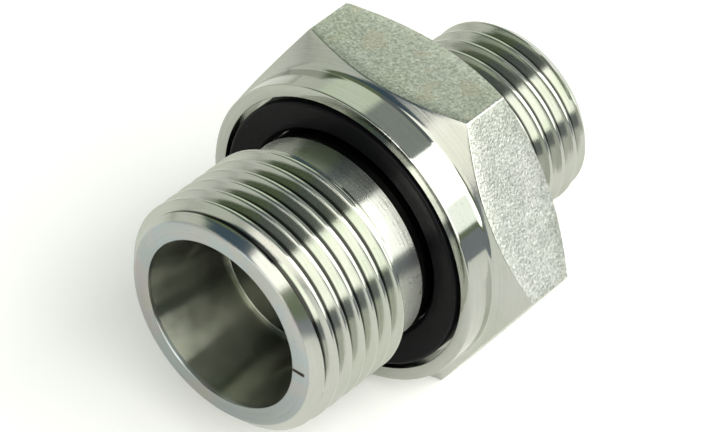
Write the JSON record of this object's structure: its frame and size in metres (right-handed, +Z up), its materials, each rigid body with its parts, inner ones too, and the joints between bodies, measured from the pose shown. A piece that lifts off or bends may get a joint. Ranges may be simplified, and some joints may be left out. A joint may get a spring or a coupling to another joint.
{
  "type": "reducing adapter",
  "caption": "Male-to-male steel reducing adapter with a hexagon, a face seal ring in the collar of the larger stud and coned mouths at both ends.",
  "frame": {"origin": "under the middle of the adapter's length, on the surface that one flat of the hexagon rests on", "axes": "+X along the axis from the large stud to the small stud, +Z up, square to the resting flat"},
  "size_m": [0.035, 0.0312, 0.027],
  "materials": {
    "plated_steel": "bright zinc plated and clear passivated, turned studs and collar, drawn flats",
    "black_elastomer": "smooth moulded black elastomer with a slight gloss"
  },
  "bodies": {
    "root": {"adapter_body": "plated_steel", "seal_ring": "black_elastomer"}
  },
  "joints": []
}
